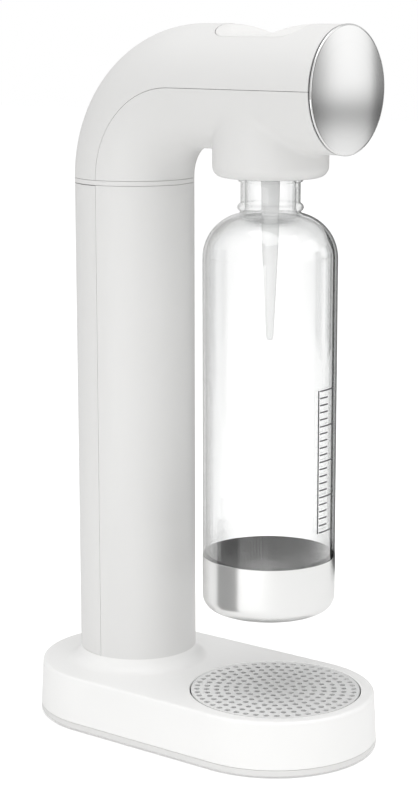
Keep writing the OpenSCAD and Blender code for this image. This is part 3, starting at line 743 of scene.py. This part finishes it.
# %% Button
button_low, button_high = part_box("button")
gap = 0.15 * MM
pad_r = (button_high.x - button_low.x) / 2 - gap
pad_l = (button_high.y - button_low.y) / 2 - gap
pad_corner = 11 * MM - gap
button_y = (button_high.y + button_low.y) / 2
tube_top = head_z + tube_r
hollow_depth, hollow_flat, hollow_quarter = 6.8 * MM, 5.5 * MM, 12.8 * MM
hollow_r = (hollow_quarter ** 2 + (hollow_depth / 2) ** 2) / hollow_depth
cap_z = tube_top - hollow_depth - 3 * MM
skirt_z = cap_z - 6.5 * MM
skirt_wall, skirt_chamfer, edge_r = 2.2 * MM, 0.3 * MM, 0.5 * MM


def pad_height(x, y):
    t = max(abs(y - bottle_y) - hollow_flat, 0)
    if t < hollow_quarter:
        hollow = tube_top - hollow_depth + hollow_r - math.sqrt(hollow_r ** 2 - t * t)
    elif t < 2 * hollow_quarter:
        t = 2 * hollow_quarter - t
        hollow = tube_top - hollow_r + math.sqrt(hollow_r ** 2 - t * t)
    else:
        hollow = tube_top
    crown = head_z + math.sqrt(tube_r ** 2 - x * x)
    soft = 0.8 * MM
    mix = min(max(0.5 + 0.5 * (crown - hollow) / soft, 0), 1)
    return crown + (hollow - crown) * mix - soft * mix * (1 - mix)


corner_steps, side_steps, edge_steps, pad_steps = 14, (16, 40), 6, 26


def pad_ring(inset, height=None, drop=0.0):
    shrunk = max(inset - edge_r, 0) / (pad_r - edge_r)
    corner = (pad_corner - min(inset, edge_r)) * (1 - shrunk)
    arcs = []
    for k, (side, end) in enumerate(((1, 1), (-1, 1), (-1, -1), (1, -1))):
        x, y = side * (pad_r - inset - corner), end * (pad_l - inset - corner)
        arcs.append([(x + corner * math.cos(a), y + corner * math.sin(a)) for a in
                     [math.pi / 2 * (k + i / corner_steps) for i in range(corner_steps + 1)]])
    ring = []
    for k in range(4):
        (x, y), (to_x, to_y) = arcs[k][-1], arcs[(k + 1) % 4][0]
        steps = side_steps[k % 2]
        ring += arcs[k] + [(x + (to_x - x) * i / steps, y + (to_y - y) * i / steps)
                           for i in range(1, steps)]
    return [(x, y + button_y, pad_height(x, y + button_y) - drop if height is None else height)
            for x, y in ring]


def joined(*parts):
    points, faces = [], []
    for more_points, more_faces in parts:
        faces += [tuple(i + len(points) for i in face) for face in more_faces]
        points += list(more_points)
    return points, faces


rings = [pad_ring(skirt_wall, cap_z), pad_ring(skirt_wall, skirt_z + skirt_chamfer),
         pad_ring(skirt_wall - skirt_chamfer, skirt_z), pad_ring(skirt_chamfer, skirt_z),
         pad_ring(0, skirt_z + skirt_chamfer)]
for i in range(edge_steps + 1):
    angle = math.radians(90 * i / edge_steps)
    rings.append(pad_ring(edge_r * (1 - math.cos(angle)), drop=edge_r * (1 - math.sin(angle))))
for i in range(1, pad_steps + 1):
    rings.append(pad_ring(edge_r + (pad_r - edge_r) * i / pad_steps))
around = len(rings[0])
pad = ([p for ring in rings for p in ring],
       [(k * around + i, k * around + (i + 1) % around, (k + 1) * around + (i + 1) % around,
         (k + 1) * around + i) for k in range(len(rings) - 1) for i in range(around)]
       + [tuple(range(around - 1, -1, -1))])


def peg(x, y, radius, low, high):
    nose = 0.6 * MM
    return turned([(0, low)] + arc(radius - nose, low + nose, nose, -90, 0, 4)
                  + [(radius, high), (0, high)], x, y, steps=40)


inside_cap = cap_z + 0.4 * MM
pusher_r, post_r, post_x = 5 * MM, 3 * MM, 14 * MM
points, faces = joined(pad, peg(0, bottle_y, pusher_r, skirt_z - 1 * MM, inside_cap), *[
    peg(x, bottle_y, post_r, button_low.z, inside_cap) for x in (-post_x, post_x)])
add_piece("button_pad", points, faces, "button", "button_white", ["button"], sharp=50)

# %% [markdown]
# The round plate is pressed from sheet steel: a shallow crown with its rim turned over. The rim
# matters more than its size suggests, because its small radius mirrors the whole studio as one
# thin bright line. It is turned about the tube's axis, so the outline is drawn lying down.

# %% Round end plate
plate_r = (disc_high.x - disc_low.x) / 2
plate_back, plate_front = disc_high.y, disc_low.y
rim_r = 0.55 * MM
rim_y = plate_back - 1 * MM
crown = plate_front - rim_y
face_steps, face_share = 40, 0.985
shares = [face_share * i / face_steps for i in range(face_steps + 1)]
face_outline = [(plate_r * share, rim_y + crown * (1 - share ** 2)) for share in shares]
rim_outline = [(plate_r - rim_r + rim_r * math.sin(math.radians(a)),
                rim_y + rim_r - rim_r * math.cos(math.radians(a))) for a in range(10, 100, 10)]
outline = face_outline + rim_outline + [(plate_r, plate_back - 0.3 * MM),
                                        (plate_r - 0.3 * MM, plate_back), (0, plate_back)]
points, faces = turned(outline, 0, 0, steps=192)
points = [(x, h, head_z + y) for x, y, h in points]
add_piece("end_plate", points, faces, "root", "plate_steel", ["front_disc"], sharp=50)

# %% [markdown]
# The bottle is blow moulded: the wall is a nearly even skin, thicker at the neck. Its outline
# runs down the outside, under the dished foot and up the inside as one closed line, so the
# wall has its real thickness. The outline is in millimetres, as on a drawing.

# %% Bottle outline
body_low, body_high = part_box("bottle_body")
bottle_r = (body_high.x - body_low.x) / 2
cup_top, rim_z = cup_high.z, body_high.z
side_r, foot, cup, rim = bottle_r / MM, body_low.z / MM, cup_top / MM, rim_z / MM
neck_r, dome_r, dome_z = 18.2, 27.7, rim - 66
wall, low_wall, neck_wall = 1.8, 2.4, 2.6
low_r, foot_round, inner_round = side_r - 0.5, 8.8, 7.0
dish_r, dish_h, dish_wall = 46.0, 8, 2.2
dish_edge = math.degrees(math.asin((dish_r - dish_h) / dish_r))
dome_edge = math.degrees(math.acos((neck_r - (side_r - dome_r) + 1.4) / dome_r))

outside = [(neck_r, rim - 0.6 - k * 0.5) for k in range(35)]
outside += [(neck_r + 1.0, rim - 17.8), (neck_r + 1.6, rim - 18.3), (neck_r + 1.6, rim - 19.2),
            (neck_r + 1.1, rim - 19.5), (neck_r + 0.3, rim - 19.8)]
outside += [(neck_r, rim - 20.6), (neck_r, rim - 32.2)]
outside += arc(neck_r - 0.4, rim - 35, 2.4, 70, -70, 14)
outside += [(neck_r + 0.25, rim - 38)] + arc(side_r - dome_r, dome_z, dome_r, dome_edge, 0, 26)
outside += [(side_r, dome_z - k * (dome_z - cup - 0.4) / 6) for k in range(1, 7)]
outside += [(low_r, cup)] + arc(low_r - foot_round, foot + foot_round, foot_round, 0, -90, 12)
outside += arc(0, foot + dish_h - dish_r, dish_r, dish_edge, 90, 14)
inside = arc(0, foot + dish_h - dish_r, dish_r + dish_wall, 90, dish_edge, 14)[:-1]
inside += arc(side_r - low_wall - inner_round, foot + low_wall + inner_round, inner_round,
              -80, 0, 10)
inside += [(side_r - low_wall, cup), (side_r - wall, cup + 3), (side_r - wall, dome_z)]
inside += arc(side_r - dome_r, dome_z, dome_r - wall, 0, dome_edge + 4, 22)
inside += [(neck_r - neck_wall, rim - 36), (neck_r - neck_wall, rim - 0.6),
           (neck_r - 2.0, rim), (neck_r - 0.6, rim)]
print("outline of", len(outside), "points outside and", len(inside), "inside")

# %% [markdown]
# The neck's thread is a ridge that climbs round it. A swept ridge would have to be joined to the
# neck, so the neck's own points are moved instead: they go outwards where the ridge passes, and
# that height moves with the angle. The ridge runs out at both ends.

# %% Bottle with its thread
points, faces = turned([(radius * MM, z * MM) for radius, z in outside + inside], 0, bottle_y,
                       steps=192, closed=True)
lead, ridge, thread_start, thread_end, run_out = 4 * MM, 1.1 * MM, 2 * MM, 15 * MM, 2 * MM
for k, (x, y, z) in enumerate(points):
    out, depth = Vector((x, y - bottle_y)), rim_z - z
    if abs(out.length - neck_r * MM) > 0.01 * MM or not thread_start < depth < thread_end:
        continue
    turn = depth / lead - math.atan2(out.y, out.x) / (2 * math.pi)
    fade = min(depth - thread_start, thread_end - depth, run_out) / run_out
    out *= 1 + ridge / out.length * fade * max(0, math.cos(2 * math.pi * turn)) ** 0.6
    points[k] = (out.x, out.y + bottle_y, z)
add_piece("bottle_clear_body", points, faces, "bottle", "bottle_clear", ["bottle_body"], sharp=35)

# %% [markdown]
# A printed scale on the bottle shows how far to fill it: short marks, a longer one every fifth,
# and an upright line beside them. Each mark is a thin skin that follows the bottle's curve just
# outside it, because ink has a place but hardly any thickness.

# %% Fill scale
ink_r, ink_h = bottle_r + 0.06 * MM, 0.05 * MM


def ink_mark(start, end, low, high, steps):
    points, faces = [], []
    for radius in (ink_r, ink_r - ink_h):
        for k in range(steps + 1):
            angle = math.radians(start + (end - start) * k / steps)
            for z in (low, high):
                points.append((radius * math.cos(angle), bottle_y + radius * math.sin(angle), z))
    side = 2 * (steps + 1)
    for k in range(steps):
        a = 2 * k
        faces += [(a, a + 2, a + 3, a + 1), (a + side, a + side + 1, a + side + 3, a + side + 2),
                  (a, a + side, a + side + 2, a + 2), (a + 1, a + 3, a + side + 3, a + side + 1)]
    faces += [(0, 1, side + 1, side), (side - 2, 2 * side - 2, 2 * side - 1, side - 1)]
    return points, faces


marks = []
scale_low, mark_gap, mark_h, gaps = cup_top + 20 * MM, 4.4 * MM, 0.9 * MM, 20
scale_start, long_reach, short_reach = -96, 20, 11
for k in range(gaps + 1):
    reach = long_reach if k % 5 == 0 else short_reach
    z = scale_low + k * mark_gap
    marks.append(ink_mark(scale_start, scale_start + reach, z, z + mark_h, 8))
marks.append(ink_mark(scale_start - 2.5, scale_start - 1, scale_low,
                      scale_low + gaps * mark_gap + mark_h, 2))
points, faces = joined(*marks)
print(len(marks), "marks")
add_piece("fill_scale", points, faces, "bottle", "carrier_grey", sharp=60)

# %% [markdown]
# A coil spring is a wire swept along a helix. It lies flat for part of a turn at each end, as
# ground springs do. The share of its length that each spring keeps when the joint that loads it
# is at its limit is printed; for the button's two a spare share is taken off as well. The
# button's two keep a little less, so that they never touch its cap at the end of the stroke.

# %% Springs
def coil(x, y, radius, wire, low, high, turns):
    steps, sides, flat_turns = int(turns * 40), 10, 0.7
    points, faces = [], []
    low, high = low + wire / 2, high - wire / 2
    for k in range(steps + 1):
        t = k / steps
        climb = min(max((t * turns - flat_turns) / (turns - 2 * flat_turns), 0), 1)
        angle = 2 * math.pi * t * turns
        centre = Vector((x + radius * math.cos(angle), y + radius * math.sin(angle),
                         low + (high - low) * climb))
        out = Vector((math.cos(angle), math.sin(angle), 0))
        for i in range(sides):
            a = 2 * math.pi * i / sides
            points.append(centre + (out * math.cos(a) + Vector((0, 0, 1)) * math.sin(a)) * wire / 2)
    for k in range(steps):
        for i in range(sides):
            n = (i + 1) % sides
            faces.append((k * sides + i, k * sides + n, (k + 1) * sides + n, (k + 1) * sides + i))
    faces += [tuple(range(sides)), tuple(steps * sides + i for i in reversed(range(sides)))]
    return points, faces


def spring_piece(name, coils, replaced, joint, keep):
    points, faces = joined(*coils)
    piece = add_piece(name, points, faces, "root", "spring_steel", [replaced], sharp=70)
    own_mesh(piece)
    print("  keeps", round(keep, 2), "of its length when", joint, "is at its limit")


travel = {j["name"]: j["range_m"][1] for j in frame["joints"] if "range_m" in j}
low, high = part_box("button_springs")
spare = 0.02
spring_piece("return_springs", [coil(x, bottle_y, 4.4 * MM, 1 * MM, low.z, high.z, 6)
                                for x in (-post_x, post_x)], "button_springs",
             "button_press", 1 - spare - travel["button_press"] / (high.z - low.z))
low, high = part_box("plunger_spring")
spring_piece("valve_spring", [coil(0, column_y, 5.6 * MM, 0.9 * MM, low.z, high.z, 3.5)],
             "plunger_spring", "plunger_push",
             1 - travel["plunger_push"] / (high.z - low.z))
low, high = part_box("relief_spring")
spring_piece("relief_coil", [coil((low.x + high.x) / 2, bottle_y, 2.9 * MM, 0.8 * MM,
                                  low.z, high.z, 5.5)],
             "relief_spring", "relief_lift",
             1 - travel["relief_lift"] / (high.z - low.z))

# %% [markdown]
# The gas hose is a short rubber tube pushed over two barbs inside the head. It makes one smooth
# S between them, with a clamp band near each end. It is swept along the same curve as its CAD
# solid, with more rings and sides.

# %% Gas hose
low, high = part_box("gas_hose")
hose_r = (high.x - low.x) / 2
start, end = Vector((0, high.y, low.z + hose_r)), Vector((0, low.y, high.z - hose_r))
rings, sides = 72, 28
clamp_start, clamp_end, clamp_h = 4, 7, 0.5 * MM
points, faces = [], []
for k in range(rings + 1):
    t = k / rings
    rise = (1 - math.cos(math.pi * t)) / 2
    centre = Vector((0, start.y + (end.y - start.y) * t, start.z + (end.z - start.z) * rise))
    lean = math.atan2((end.z - start.z) * math.pi / 2 * math.sin(math.pi * t), start.y - end.y)
    clamped = clamp_start <= min(k, rings - k) <= clamp_end
    radius = hose_r if clamped else hose_r - clamp_h
    for i in range(sides):
        a = 2 * math.pi * i / sides
        points.append(centre + Vector((radius * math.cos(a), radius * math.sin(a) * math.sin(lean),
                                       radius * math.sin(a) * math.cos(lean))))
for k in range(rings):
    for i in range(sides):
        n = (i + 1) % sides
        faces.append((k * sides + i, k * sides + n, (k + 1) * sides + n, (k + 1) * sides + i))
faces += [tuple(range(sides)), tuple(rings * sides + i for i in reversed(range(sides)))]
add_piece("hose_tube", points, faces, "root", "seal_rubber", ["gas_hose"], sharp=40)
